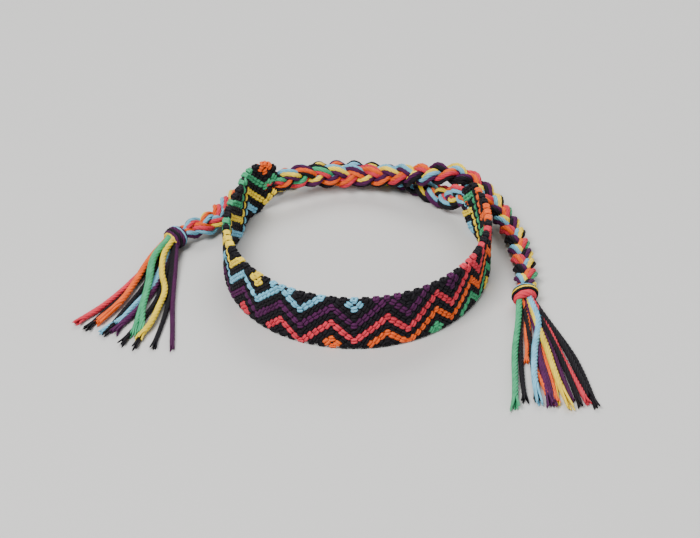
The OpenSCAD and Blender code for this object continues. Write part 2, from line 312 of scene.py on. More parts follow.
# Twisted cotton: every edge chain of the mesh becomes a string of some plies.
def makeFlossTree():
    graph, given = startTree("twistedFloss", flossLook)
    named, seed = graph.named, given["Seed"]
    strings = graph.node("GeometryNodeMeshToCurve", {"Mesh": given["Geometry"]})
    plies = graph.node("GeometryNodeDuplicateElements",
                       {"Geometry": strings, "Amount": given["Plies"]}, domain="SPLINE")
    ply = graph.stored(plies, "ply", plies.other("Duplicate Index"), "CURVE")
    lot, girth, loose = named("lot"), named("girth"), named("loose")
    angle = (named("ply") / given["Plies"] + named("wound") / given["Twist Length"]
             + lot) * (2 * pi)
    normal = graph.node("GeometryNodeInputNormal")
    side = graph.vectors("CROSS_PRODUCT", graph.node("GeometryNodeInputTangent"), normal)
    out = graph.vectors("ADD", graph.scaled(normal, angle.maths("COSINE", angle)),
                        graph.scaled(side, angle.maths("SINE", angle)))
    laid = graph.scaled(out, girth * given["Lay Share"] * (1 + loose * given["Fray"]))
    # the ID is a number of its own for every ply of every string
    stray = graph.chance(strayLook["low"], strayLook["high"], seed,
                         ID=(named("ply") + lot * 997) * 13)
    strayed = graph.scaled(stray, loose * girth * given["Fray"])
    moved = graph.node("GeometryNodeSetPosition", {
        "Geometry": ply, "Offset": graph.vectors("ADD", laid, strayed)})
    ring = graph.node("GeometryNodeCurveArc", {
        "Resolution": given["Sides"] + 1, "Radius": 1.0, "Start Angle": 0.0,
        "Sweep Angle": 2 * pi}, mode="RADIUS")
    factor = graph.node("GeometryNodeSplineParameter", output="Factor")
    skin = graph.node("GeometryNodeCurveToMesh", {
        "Curve": moved, "Profile Curve": graph.stored(ring, "turn", factor, "POINT"),
        "Scale": girth * given["Ply Share"] * (1 - strayLook["thinner"] * loose) * named("tip")})
    thread = graph.node("ShaderNodeCombineXYZ", {
        "X": named("run"), "Y": named("turn"), "Z": named("ply")})
    welded = graph.node("GeometryNodeMergeByDistance", {
        "Geometry": graph.stored(skin, "thread", thread, "CORNER", "FLOAT_VECTOR"),
        "Distance": weldGap})
    # stray fibres that stand out from the string
    spots = graph.node("GeometryNodeDistributePointsOnFaces", {
        "Mesh": welded, "Density": given["Hairs"], "Seed": seed}, distribute_method="RANDOM")
    line = graph.node("GeometryNodeCurvePrimitiveBezierSegment", hairLook["curve"])
    circle = graph.node("GeometryNodeCurvePrimitiveCircle",
                        {"Resolution": hairLook["sides"], "Radius": 1.0}, mode="RADIUS")
    hair = graph.node("GeometryNodeCurveToMesh", {
        "Curve": line, "Profile Curve": circle,
        "Scale": (1 - factor) * given["Hair Radius"] / given["Hair Length"]})
    lean, turn = hairLook["lean"], hairLook["turn"]
    turned = graph.node("FunctionNodeRotateRotation", {
        "Rotation": spots.other("Rotation"),
        "Rotate By": graph.chance((-lean, -lean, -turn), (lean, lean, turn), seed)},
        rotation_space="LOCAL")
    hairs = graph.node("GeometryNodeInstanceOnPoints", {
        "Points": spots, "Instance": hair, "Rotation": turned,
        "Scale": graph.chance(hairLook["shortest"], 1.0, seed) * given["Hair Length"]})
    joined = graph.node("GeometryNodeJoinGeometry")
    for part in (graph.node("GeometryNodeRealizeInstances", {"Geometry": hairs}), welded):
        graph.tree.links.new(part.socket, joined.socket.node.inputs[0])
    above = graph.node("GeometryNodeSetPosition", {
        "Geometry": joined, "Position": graph.vectors(
            "MAXIMUM", graph.node("GeometryNodeInputPosition"), (farDown, farDown, floorGap))})
    return endTree(graph, above)


flossTree = makeFlossTree()


# Each string has its points, dye, radius, the length that comes apart at its cut end, and a
# chance number.
def makeFloss(name, strings, hairs=flossLook["Hairs"]):
    points, edges, rows = [], [], []
    for route, dye, radius, frayed, lot in strings:
        steps = [(b - a).length for a, b in zip(route, route[1:])]
        whole, run, wound = sum(steps), 0, 0
        for index, point in enumerate(route):
            opened = max(0, 1 - (whole - run) / frayed) if frayed else 0
            if index:
                run += steps[index - 1]
                wound += steps[index - 1] * max(0, 1 - strayLook["unwind"] * opened)
                edges.append((len(points) - 1, len(points)))
            points.append(point)
            tip = 0 if index in (0, len(route) - 1) else 1
            rows.append((dyeNames.index(dye), run, wound, lot, radius,
                         opened ** strayLook["opening"], tip))
    mesh = bpy.data.meshes.new(name + "Lines")
    mesh.from_pydata(points, edges, [])
    numbers, *columns = zip(*rows)
    addAttribute(mesh, "dye", "INT", numbers)
    for label, values in zip(("run", "wound", "lot", "girth", "loose", "tip"), columns):
        addAttribute(mesh, label, "FLOAT", values)
    return grow(name, mesh, flossTree, {**flossLook, "Hairs": hairs})


# The loop as seen from above, with the angle in degrees anticlockwise from the right.
loop = {"radius": 31.5 * mm, "depth": 1.7 * mm, "back": 1.7 * mm, "skew": 0.4 * mm,
        "bulge": 2.2 * mm, "bulgeTurn": 136, "bulgeReach": 18}
sideStep = 0.2  # degrees to each side that give the way along it
band = {
    "height": 13.3 * mm,
    "gatherHeight": 6.4 * mm, "gatherLength": 4.5 * mm,  # at the ends, where it narrows
    "leftEnd": 124.0, "rightEnd": 400.0,
    "coreThickness": 1.1 * mm, "coreInset": 0.45 * mm, "coreSteps": 150,
    # corners of the core's section, as shares of half its thickness and height
    "coreSection": [(1, -0.9), (1, 0.9), (0.5, 1), (-0.5, 1), (-1, 0.9), (-1, -0.9),
                    (-0.5, -1), (0.5, -1)],
}
midHeight = band["height"] / 2


def planPoint(angle):
    turn = radians(angle)
    radius = (loop["radius"] + loop["back"] * sin(turn) - loop["depth"] * cos(2 * turn)
              + loop["skew"] * sin(2 * turn))
    past = abs(angle - loop["bulgeTurn"]) / loop["bulgeReach"]
    if past < 1:
        radius += loop["bulge"] / 2 * (1 + cos(pi * past))
    return Vector((radius * cos(turn), radius * sin(turn), 0))


def planAlong(angle):
    return (planPoint(angle + sideStep) - planPoint(angle - sideStep)).normalized()


# Run along the band from its left end, round the front to its right end.
bandSteps = 1104
bandAngles = [band["leftEnd"] + (band["rightEnd"] - band["leftEnd"]) * step / bandSteps
              for step in range(bandSteps + 1)]
bandRuns = [0.0]
for before, after in zip(bandAngles, bandAngles[1:]):
    bandRuns.append(bandRuns[-1] + (planPoint(after) - planPoint(before)).length)
bandLength = bandRuns[-1]


def angleAt(run):
    index = min(max(bisect(bandRuns, run) - 1, 0), len(bandRuns) - 2)
    share = (run - bandRuns[index]) / (bandRuns[index + 1] - bandRuns[index])
    return bandAngles[index] + share * (bandAngles[index + 1] - bandAngles[index])


# Middle of the band at a run, its direction, and the way out of the loop.
def bandFrame(run):
    angle = angleAt(run)
    along = planAlong(angle)
    return planPoint(angle), along, Vector((along.y, -along.x, 0))


def bandHalfHeight(run):
    share = min(run, bandLength - run) / band["gatherLength"]
    return (band["gatherHeight"] + (band["height"] - band["gatherHeight"]) * min(1, share)) / 2


def blackPiece(mesh):
    addAttribute(mesh, "lot", "FLOAT", [0.5] * len(mesh.vertices))
    mesh.materials.append(cotton["black"])
    return addObject(mesh.name, mesh)


# Core of the band: the carried strings under the knots, a thin dark wall.
def makeCore():
    outside = band["coreThickness"] / 2
    stations, corners = band["coreSteps"], len(band["coreSection"])
    vertices, faces = [], []
    for station in range(stations + 1):
        run = bandLength * station / stations
        place, along, out = bandFrame(run)
        half = bandHalfHeight(run) - band["coreInset"]
        for off, high in band["coreSection"]:
            vertices.append(place + out * (outside * off) + upward * (midHeight + half * high))
    for station in range(stations):
        for corner in range(corners):
            a = station * corners + corner
            b = station * corners + (corner + 1) % corners
            faces.append((a, b, b + corners, a + corners))
    faces.append(tuple(range(corners))[::-1])
    faces.append(tuple(stations * corners + corner for corner in range(corners)))
    mesh = bpy.data.meshes.new("band_core")
    mesh.from_pydata(vertices, [], faces)
    addAttribute(mesh, "thread", "FLOAT_VECTOR",
                 [(index // corners * mm, index % corners / corners, 0)
                  for index in range(len(vertices))])
    return blackPiece(mesh)


poleRun = 0.2 * mm  # run of the thread from the last ring of a loop to its pole


# A loop of string as a low mesh: stations of centre, sideways, outwards and radius.
def loopMesh(name, loops, sides=6):
    vertices, faces, threads = [], [], []
    for stations in loops:
        base = len(vertices)
        vertices.append(stations[0][0])
        run, runs = 0, []
        for index, (centre, sideways, outwards, radius) in enumerate(stations[1:-1]):
            run += (centre - stations[index][0]).length
            runs.append(run)
            for side in range(sides):
                turn = 2 * pi * side / sides
                vertices.append(centre + (sideways * cos(turn) + outwards * sin(turn)) * radius)
        vertices.append(stations[-1][0])
        rings = len(stations) - 2
        end = base + 1 + rings * sides
        for side in range(sides):
            a, b = side / sides, (side + 1) / sides
            here, there = base + 1 + side, base + 1 + (side + 1) % sides
            faces.append((base, here, there))
            threads += [(0, a, 0), (runs[0], a, 0), (runs[0], b, 0)]
            for ring in range(rings - 1):
                low = ring * sides
                faces.append((here + low, here + low + sides, there + low + sides, there + low))
                threads += [(runs[ring], a, 0), (runs[ring + 1], a, 0),
                            (runs[ring + 1], b, 0), (runs[ring], b, 0)]
            low = (rings - 1) * sides
            faces.append((end, there + low, here + low))
            threads += [(runs[-1] + poleRun, a, 0), (runs[-1], b, 0), (runs[-1], a, 0)]
    mesh = bpy.data.meshes.new(name)
    mesh.from_pydata(vertices, [], faces)
    addAttribute(mesh, "thread", "FLOAT_VECTOR", threads, "CORNER")
    return mesh


# One knot of the band: two turns of string side by side over the carried string.
# X is the way its line runs, Y across the line, Z out of the face.
knotLook = {
    "length": 2.06 * mm, "turnWidth": 0.86 * mm, "turnHeight": 0.76 * mm, "spacing": 0.74 * mm,
    "slant": 9, "dip": 0.22 * mm, "ringReach": 0.92, "blunt": 0.55,
    "lean": 41,  # degrees that a line of knots leans
    "outerRings": 4, "innerRings": 3,
    "outerOff": 0.62 * mm,  # from the middle of the band's thickness to its knots
    "innerOff": 0.60 * mm, "innerSize": 0.97,
    # knots at an edge sit deeper, hardly lean and are smaller
    "edgeSink": 0.10 * mm, "edgeLean": 0.15, "edgeSize": 0.72,
}
knotSpread = {"Knot": None, "Size Spread": 0.08, "Turn Spread": 0.13, "Seed": 11}
innerSeed, edgeSeed = 16, 23


def knotMesh(name, rings):
    look = knotLook

    def station(side, ring):
        share = 2 * ring / (rings + 1) - 1
        if abs(share) < 1:
            share *= look["ringReach"]
        bend = sqrt(max(0, 1 - share * share))
        slant = radians(look["slant"]) * share
        centre = Vector((share * look["length"] / 2,
                         side * look["spacing"] / 2 + sin(slant) * look["length"] / 2,
                         -look["dip"] * share * share))
        return (centre, Vector((0, look["turnWidth"] / 2, 0)),
                Vector((0, 0, look["turnHeight"] / 2)), bend ** look["blunt"])

    return loopMesh(name, [[station(side, ring) for ring in range(rings + 2)]
                           for side in (-1, 1)])


# Knots set on a face of the band. Every point carries the way out, the way along and a turn.
def makeKnotTree():
    graph, given = startTree("knotRows", knotSpread)
    named, seed = graph.named, given["Seed"]
    points = graph.node("GeometryNodeMeshToPoints", {"Mesh": given["Geometry"]}, mode="VERTICES")
    knot = graph.node("GeometryNodeObjectInfo", {"Object": given["Knot"]}, "Geometry")
    stand = graph.node("FunctionNodeAxesToRotation", {
        0: named("out", "FLOAT_VECTOR"), 1: named("along", "FLOAT_VECTOR")},
        primary_axis="Z", secondary_axis="X")
    spin = graph.node("ShaderNodeCombineXYZ", {
        "Z": named("turn") + graph.chance(-1.0, 1.0, seed) * given["Turn Spread"]})
    turned = graph.node("FunctionNodeRotateRotation", {"Rotation": stand, "Rotate By": spin},
                        rotation_space="LOCAL")
    swell = graph.chance(-1.0, 1.0, seed + 1)
    setOut = graph.node("GeometryNodeInstanceOnPoints", {
        "Points": points, "Instance": knot, "Rotation": turned,
        "Scale": named("size") * (1 + swell * given["Size Spread"])})
    lotted = graph.stored(setOut, "lot", graph.chance(0.0, 1.0, seed + 2), "INSTANCE")
    return endTree(graph, graph.node("GeometryNodeRealizeInstances", {"Geometry": lotted}))


knotTree = makeKnotTree()


# Each row has a knot's place, the way out, the way along, its turn, size and dye.
def setKnots(name, mesh, rows, seed):
    pattern = addObject(name + "Knot", mesh)
    start = bpy.data.meshes.new(name + "Points")
    places, outs, ways, turns, sizes, rowDyes = zip(*rows)
    start.from_pydata(places, [], [])
    for label, kind, values in (
            ("out", "FLOAT_VECTOR", outs), ("along", "FLOAT_VECTOR", ways),
            ("turn", "FLOAT", turns), ("size", "FLOAT", sizes),
            ("dye", "INT", [dyeNames.index(dye) for dye in rowDyes])):
        addAttribute(start, label, kind, values)
    piece = grow(name, start, knotTree, {**knotSpread, "Knot": pattern, "Seed": seed})
    bpy.data.objects.remove(pattern)
    return piece


# Value of a table of places and values, eased from row to row.
def easedAt(rows, place):
    for (before, first), (after, last) in zip(rows, rows[1:]):
        if place <= after:
            share = max(0, (place - before) / (after - before))
            return first + (last - first) * share * share * (3 - 2 * share)
    return rows[-1][1]


# The zigzag. Columns run along the band, rows down from its top edge; a knot sits where
# column and row are both even or both odd.
weave = {
    "columns": (-60, 72),  # more than the band has
    "columnStep": 1.205 * mm,
    "start": 67.4 * mm,  # run of column 0, under the lowest valley of the pink line
    "endGap": 0.3 * mm,  # from the band's ends to the nearest knots
    "rowStep": 1.04 * mm,
    "lastRow": 12,
    "edgeRow": 0.74 * mm,  # middle of the outermost knots from the edge
    "spareAbove": 0.3 * mm,  # how far knots may sit out past the drawn-in ends, above
    "spareBelow": -0.4 * mm,  # and below
    "period": 10,  # columns from valley to valley
    "rise": 6,  # columns from a valley to the next peak
    "valley": 12,  # row of the pink valley at column 0
    "climb": 2,  # rows that every valley is higher than the one before
    # unevenness of the tying, in millimetres at a column: along the band, and up inside it
    "slide": [(-50, -3.6), (-44, -3.9), (-40, -1.9), (-34, -0.5), (-28, 0.0),
              (36, 0.0), (46, -2.5)],
    "sway": [(-2, 0.0), (4, 0.4), (10, -0.4), (20, -0.9), (26, -0.3), (30, -0.8), (40, -0.5)],
}
lineDyes = ["pink", "orange", "green", "yellow", "lightBlue", "purple"]


def rowHeight(row, column):
    edge = midHeight - weave["edgeRow"]
    across = 1 - 2 * row / weave["lastRow"]
    sway = easedAt(weave["sway"], column) * (1 - across * across) * mm
    high = across * weave["lastRow"] / 2 * weave["rowStep"] + sway
    return midHeight + max(-edge, min(edge, high))


# Row of the pink line at a column.
def pinkRow(column):
    period, place = divmod(column, weave["period"])
    valley = weave["valley"] - weave["climb"] * period
    return valley - min(place, 2 * weave["rise"] - place)


def lineDye(level):
    return "black" if level % 2 else lineDyes[level // 2 % len(lineDyes)]


# A line that turns two rows from an edge is filled out to that edge, and so is one whose
# peak meets the top edge. A line that turns on or past an edge isn't seen there.
def knotDye(column, row):
    last, period = weave["lastRow"], weave["period"]
    for turn in range(column // period - 1, column // period + 2):
        valley = turn * period
        peak = valley + weave["rise"]
        for middle, atEdge, near in ((valley, row, 2), (peak, last - row, last - 2)):
            level = near - pinkRow(middle)
            if level % 4 == 0:
                if (abs(column - middle), atEdge) in ((0, 0), (1, 1), (0, 2)):
                    return lineDye(level // 2)
                if (abs(column - middle), atEdge) == (2, 0):
                    return "black"
        if pinkRow(peak) % 4 == 0:
            if row == 0 and abs(column - peak) == 2:
                return lineDye(-pinkRow(peak) // 2)
            if row == last and column == peak:
                return "black"
        if pinkRow(valley) % 4 == 0 and row == 0 and column == valley:
            return "black"
        if pinkRow(valley) % 4 == 2 and row == last and abs(column - valley) == 2:
            return "black"
    return lineDye((row - pinkRow(column)) // 2)


def bandKnots():
    rows = []
    for column in range(*weave["columns"]):
        run = weave["start"] + weave["columnStep"] * column + easedAt(weave["slide"], column) * mm
        if not weave["endGap"] < run < bandLength - weave["endGap"]:
            continue
        place = column % weave["period"]
        lean = radians(knotLook["lean"])
        if place in (0, weave["rise"]):
            lean = 0
        elif place > weave["rise"]:
            lean = -lean
        for row in range(column % 2, weave["lastRow"] + 1, 2):
            high = rowHeight(row, column)
            across = high - midHeight
            spare = weave["spareAbove" if across > 0 else "spareBelow"]
            if abs(across) > bandHalfHeight(run) + spare:
                continue
            rows.append({"run": run, "row": row, "column": column, "high": high, "lean": lean,
                         "dye": knotDye(column, row)})
    return rows


bandRows = bandKnots()
print("knots on a face:", len(bandRows))


def faceRows(way, off, size):
    rows = []
    for knot in bandRows:
        place, along, out = bandFrame(knot["run"])
        sink, lean, share = 0, 1, 1
        if knot["row"] in (0, weave["lastRow"]):
            sink, lean, share = knotLook["edgeSink"], knotLook["edgeLean"], knotLook["edgeSize"]
        rows.append((place + out * (way * (off - sink)) + upward * knot["high"], out * way,
                     along * way, knot["lean"] * way * lean, size * share, knot["dye"]))
    return rows


outerKnots = setKnots("band_outer_knots", knotMesh("outerKnot", knotLook["outerRings"]),
                      faceRows(1, knotLook["outerOff"], 1.0), knotSpread["Seed"])
innerKnots = setKnots("band_inner_knots", knotMesh("innerKnot", knotLook["innerRings"]),
                      faceRows(-1, knotLook["innerOff"], knotLook["innerSize"]), innerSeed)


# The strings turn over both long edges between the outer and the inner knots.
edgeLook = {"radius": 0.36 * mm, "reach": 0.58 * mm, "arch": 0.42 * mm, "spacing": 0.92 * mm,
            "slant": 0.10 * mm, "sink": 0.03 * mm, "taper": 0.5 * mm, "stations": 9}


def edgeMesh():
    look = edgeLook
    last = look["stations"] - 1

    def station(side, index):
        turn = pi * index / last
        centre = Vector((side * look["spacing"] / 2 + look["slant"] * cos(turn),
                         look["reach"] * cos(turn), look["arch"] * sin(turn)))
        outwards = Vector((0, cos(turn), sin(turn))).normalized()
        return (centre, Vector((look["radius"], 0, 0)), outwards * look["radius"],
                0 if index in (0, last) else 1)

    return loopMesh("edgeLoop", [[station(side, index) for index in range(last + 1)]
                                 for side in (-1, 1)])


def edgeRows():
    rows, byColumn = [], {}
    for knot in bandRows:
        byColumn.setdefault(knot["column"], []).append(knot)
    for knots in byColumn.values():
        for knot, way in ((knots[0], 1), (knots[-1], -1)):
            tapered = bandHalfHeight(knot["run"]) < midHeight - edgeLook["taper"]
            if not tapered and knot["row"] not in (0, weave["lastRow"]):
                continue
            place, along, out = bandFrame(knot["run"])
            rise = edgeLook["arch"] + edgeLook["radius"]
            top = abs(knot["high"] - midHeight) + weave["edgeRow"] - edgeLook["sink"]
            rows.append((place + upward * (midHeight + way * (top - rise)), upward * way,
                         along * way, 0.0, 1.0, knot["dye"]))
    return rows


edgeLoops = setKnots("band_edge_loops", edgeMesh(), edgeRows(), edgeSeed)
core = makeCore()
print("band knotted")


# Middles of the two ties: x, y and z in millimetres, and the lean of the braid's width
# from upright, to the left of its run. Each starts at an end of the band.
rightRoute = [
    (-12.6, 31.6, 6.2, 8), (-8.4, 33.2, 5.2, 20), (-3.0, 34.4, 4.5, 25), (4.0, 34.2, 4.6, 26),
    (10.5, 32.4, 5.9, 36), (15.5, 30.4, 7.4, 54), (20.0, 29.2, 8.4, 70), (24.5, 28.7, 8.2, 72),
    (28.3, 27.0, 6.3, 72), (31.0, 24.0, 5.0, 70), (33.6, 19.3, 3.8, 75), (36.2, 12.6, 2.9, 82),
    (37.7, 4.2, 2.5, 88), (38.4, -4.4, 2.5, 90), (38.0, -11.9, 2.6, 90),
]
leftRoute = [
    (23.0, 24.4, 4.4, -22), (21.1, 27.0, 2.8, -50), (17.9, 30.1, 2.4, -75),
    (13.9, 34.2, 2.3, -90), (9.0, 37.8, 2.3, -90), (3.2, 39.8, 2.3, -90), (-4.0, 40.5, 2.3, -90),
    (-11.2, 39.4, 2.3, -90), (-18.0, 36.2, 2.3, -90), (-24.0, 31.4, 2.6, -80),
    (-28.6, 25.4, 3.2, -65), (-31.0, 20.4, 3.6, -55), (-32.8, 16.6, 3.6, -55),
    (-35.6, 14.2, 3.4, -60), (-38.4, 12.9, 3.2, -65), (-40.5, 11.6, 2.9, -65),
]
braid = {
    "pitch": 12.5 * mm, "swingWide": 1.35 * mm, "swingThick": 0.9 * mm,
    "strandWide": 1.6 * mm, "strandThick": 1.25 * mm, "strandGap": 0.1 * mm,
    "startThin": 0.6, "thinLength": 6 * mm,
    "endDrawn": 0.72, "drawnLength": 5 * mm,
    "gap": 0.3 * mm,  # from the band to the strands
    "startStep": 1.35 * mm,
    "startPoints": (0, 1, 1.6),  # first points of a tie's path past the gap, in such steps
    "spanSteps": 10, "step": 0.45 * mm, "bendSteps": 3,
    "leastFacing": 0.05,  # a side that faces another strand more than this is pressed
    "stringRadius": 0.58 * mm,
    "firstString": 54,  # its degree round the strand
    "tuck": 4 * mm,  # length of string that runs on into the band
    "tuckSteps": 8, "tuckSide": 0.35, "tuckHigh": 0.95, "seed": 40,
}


# Between the second and the third of four values in a row.
def smoothValue(a, b, c, d, u):
    return 0.5 * (2 * b + (c - a) * u + (2 * a - 5 * b + 4 * c - d) * u * u
                  + (-a + 3 * b - 3 * c + d) * u ** 3)


def smoothRows(rows):
    before = [2 * a - b for a, b in zip(rows[0], rows[1])]
    after = [2 * a - b for a, b in zip(rows[-1], rows[-2])]
    rows = [before, *rows, after]
    steps = braid["spanSteps"]
    path = [[smoothValue(*parts, part / steps) for parts in zip(*rows[index:index + 4])]
            for index in range(len(rows) - 3) for part in range(steps)]
    return path + [list(rows[-2])]


# The same curve in equal steps.
def evenRows(path, step):
    runs = [0.0]
    for a, b in zip(path, path[1:]):
        runs.append(runs[-1] + (Vector(b[:3]) - Vector(a[:3])).length)
    count = ceil(runs[-1] / step)
    even = []
    for number in range(count + 1):
        run = runs[-1] * number / count
        index = min(bisect(runs, run) - 1, len(path) - 2)
        share = (run - runs[index]) / (runs[index + 1] - runs[index])
        even.append([a + (b - a) * share for a, b in zip(path[index], path[index + 1])])
    return even, runs[-1] / count


def tiePath(route, angle, way, over):
    rows = []
    for steps in braid["startPoints"]:
        off = braid["gap"] + steps * braid["startStep"]
        start = planPoint(angle) + planAlong(angle) * (way * off)
        rows.append((start.x, start.y, midHeight, over))
    rows += [(x * mm, y * mm, z * mm, lean + over) for x, y, z, lean in route]
    return evenRows(smoothRows(rows), braid["step"])


def strandMiddle(turn):
    return Vector((braid["swingWide"] * sin(turn), -braid["swingThick"] * sin(2 * turn)))


# How far a strand reaches one way in the braid's section: an ellipse pressed flat by the others.
def strandReach(turn, way):
    middle = strandMiddle(turn)
    reach = 1 / Vector((way.x / braid["strandWide"], way.y / braid["strandThick"])).length
    for third in (1, 2):
        other = strandMiddle(turn + third * 2 * pi / 3) - middle
        towards = way.dot(other.normalized())
        if towards > braid["leastFacing"]:
            reach = min(reach, (other.length - braid["strandGap"]) / 2 / towards)
    return reach


def growing(least, share):
    return min(1, least + (1 - least) * share)


def strandStrings(path, step, number, bundle, startRun, startTurn):
    chance = random.Random(braid["seed"] + number)
    whole = step * (len(path) - 1)
    radius, reach = braid["stringRadius"], braid["bendSteps"]
    lines = [[] for dye in bundle["dyes"]]
    for index, row in enumerate(path):
        run = step * index
        place = Vector(row[:3])
        ahead = (Vector(path[min(index + reach, len(path) - 1)][:3])
                 - Vector(path[max(index - reach, 0)][:3])).normalized()
        level = ahead.cross(upward).normalized()
        lean = radians(row[3])
        wide = level.cross(ahead) * cos(lean) - level * sin(lean)
        thick = ahead.cross(wide)
        drawn = growing(braid["endDrawn"], (whole - run) / braid["drawnLength"])
        thin = drawn * growing(braid["startThin"], run / braid["thinLength"])
        turn = 2 * pi * (run / braid["pitch"] + number / 3) + radians(startTurn)
        middle = strandMiddle(turn)
        for string, line in enumerate(lines):
            spin = radians(braid["firstString"] + 360 / len(lines) * string
                           + easedAt(bundle["roll"], run / mm))
            way = Vector((cos(spin), sin(spin)))
            spot = middle + way * max(0, strandReach(turn, way) - radius)
            line.append(place + wide * (drawn * spot.x) + thick * (thin * spot.y))
    strings = []
    for string, line in enumerate(lines):
        # the string runs on into the band, at its own height
        start = line[0]
        high = start.z - midHeight
        tucked = []
        for part in range(braid["tuckSteps"], 0, -1):
            inward = braid["tuck"] * part / braid["tuckSteps"]
            middle, along, out = bandFrame(abs(startRun - inward))
            side = braid["tuckSide"] * (start - Vector(path[0][:3])).dot(out)
            tucked.append(middle + out * side + upward * (midHeight + high * braid["tuckHigh"]))
        strings.append((tucked + line, bundle["dyes"][string], radius, 0, chance.random()))
    return strings


# The five strings of a strand, round it from its outer side in front. The roll turns the
# strand so that others come to the front: run in millimetres, degrees.
bundles = {"right_tie": [
    {"dyes": ["purple", "black", "black", "lightBlue", "yellow"], "roll": [(30, 72), (40, 0)]},
    {"dyes": ["pink", "orange", "pink", "black", "green"],
     "roll": [(13, 72), (20, -72), (45, -72), (48, 0)]},
    {"dyes": ["yellow", "lightBlue", "purple", "orange", "black"],
     "roll": [(9, -216), (15, -144), (28, -144), (38, 0)]},
], "left_tie": [
    {"dyes": ["lightBlue", "pink", "orange", "purple", "black"],
     "roll": [(16, 36), (30, -144), (74, 0), (83, -72)]},
    {"dyes": ["yellow", "pink", "lightBlue", "black", "black"],
     "roll": [(16, 36), (30, -144), (71, 0), (85, -72)]},
    {"dyes": ["lightBlue", "orange", "yellow", "black", "purple"],
     "roll": [(16, 36), (30, -144), (76, 0)]},
]}
# Route, end of the band, way on from it, run along the band there, degrees turned over, and
# how far round its path the first strand starts.
ties = {
    "right_tie": (rightRoute, band["leftEnd"], -1, 0.0, 0, 25),
    "left_tie": (leftRoute, band["rightEnd"], 1, bandLength, 180, 260),
}
dressed = []  # piece, the node that it dresses, its main dye
for tie, (route, angle, way, startRun, over, startTurn) in ties.items():
    path, step = tiePath(route, angle, way, over)
    for number in range(3):
        bundle = bundles[tie][number]
        piece = makeFloss(f"{tie}_floss_{number + 1}",
                          strandStrings(path, step, number, bundle, startRun, startTurn))
        dressed.append((piece, f"{tie}_strand_{number + 1}", bundle["dyes"][0]))
print("ties braided")


# The tied knots. A wrap is one turn of string round the barrel: share of the knot's length,
# dye, radius in millimetres, slant in millimetres, degree at which it starts.
knotSize = {
    "width": 6.2 * mm, "height": 4.9 * mm, "length": 3.8 * mm, "shoulder": 2.4, "mouth": 0.5,
    "wrapStep": 12, "dive": 40, "diveDepth": 0.45,  # both ends of a wrap dive under it
    "filling": 0.72, "fillingEnd": 0.06, "fillingRings": 8, "fillingSides": 16, "seed": 60,
}
knots = {
    "right": {"place": (37.8, -14.1, 2.6), "turn": -4, "main": "pink", "wraps": [
        (0.20, "lightBlue", 0.36, 0.50, 200), (0.32, "black", 0.24, 0.65, 210),
        (0.46, "yellow", 0.56, 0.80, 190), (0.61, "black", 0.36, 0.90, 200),
        (0.88, "pink", 1.00, 0.90, 215)]},
    "left": {"place": (-42.1, 9.6, 2.8), "turn": -38, "main": "purple", "wraps": [
        (0.08, "purple", 0.55, -0.35, 200), (0.24, "lightBlue", 0.24, -0.35, 210),
        (0.42, "purple", 0.75, -0.40, 205), (0.66, "black", 0.70, -0.40, 190),
        (0.84, "purple", 0.60, -0.40, 215), (0.95, "yellow", 0.34, -0.35, 195)]},
}


def knotFull(share):
    power, mouth = knotSize["shoulder"], knotSize["mouth"]
    return mouth + (1 - mouth) * max(0, 1 - abs(2 * share - 1) ** power) ** (1 / power)


def knotTransform(knot):
    return (Matrix.Translation(Vector(knot["place"]) * mm)
            @ Matrix.Rotation(radians(knot["turn"]), 4, "Z"))


def wrapStrings(knot):
    look = knotSize
    chance = random.Random(look["seed"])
    move = knotTransform(knot)
    strings = []
    for share, dye, thick, slant, start in knot["wraps"]:
        radius = thick * mm
        full = knotFull(share)
        line = []
        for degree in range(-look["dive"], 361 + look["dive"], look["wrapStep"]):
            turn = radians(start + degree)
            under = max(0, -degree, degree - 360) / look["dive"]
            fit = 1 - look["diveDepth"] * under
            line.append(move @ Vector((
                (look["width"] / 2 * full - radius) * cos(turn) * fit,
                look["length"] * (0.5 - share) + slant * mm * cos(turn),
                (look["height"] / 2 * full - radius) * sin(turn) * fit)))
        strings.append((line, dye, radius, 0, chance.random()))
    return strings


def fillingBarrel(knot):
    look = knotSize
    move = knotTransform(knot)
    sideways = move.to_3x3() @ Vector((look["width"] / 2, 0, 0))
    outwards = Vector((0, 0, look["height"] / 2))
    stations = []
    rings, end = look["fillingRings"], look["fillingEnd"]
    for ring in range(rings + 1):
        share = end + (1 - 2 * end) * ring / rings
        centre = move @ Vector((0, look["length"] * (0.5 - share), 0))
        stations.append((centre, sideways, outwards, look["filling"] * knotFull(share)))
    return stations


for side, knot in knots.items():
    piece = makeFloss(f"{side}_knot_wrap", wrapStrings(knot))
    dressed.append((piece, f"{side}_knot", knot["main"]))
    filling = loopMesh(f"{side}_knot_filling", [fillingBarrel(knot)], knotSize["fillingSides"])
    dressed.append((blackPiece(filling), f"{side}_knot", "black"))
print("knots tied")


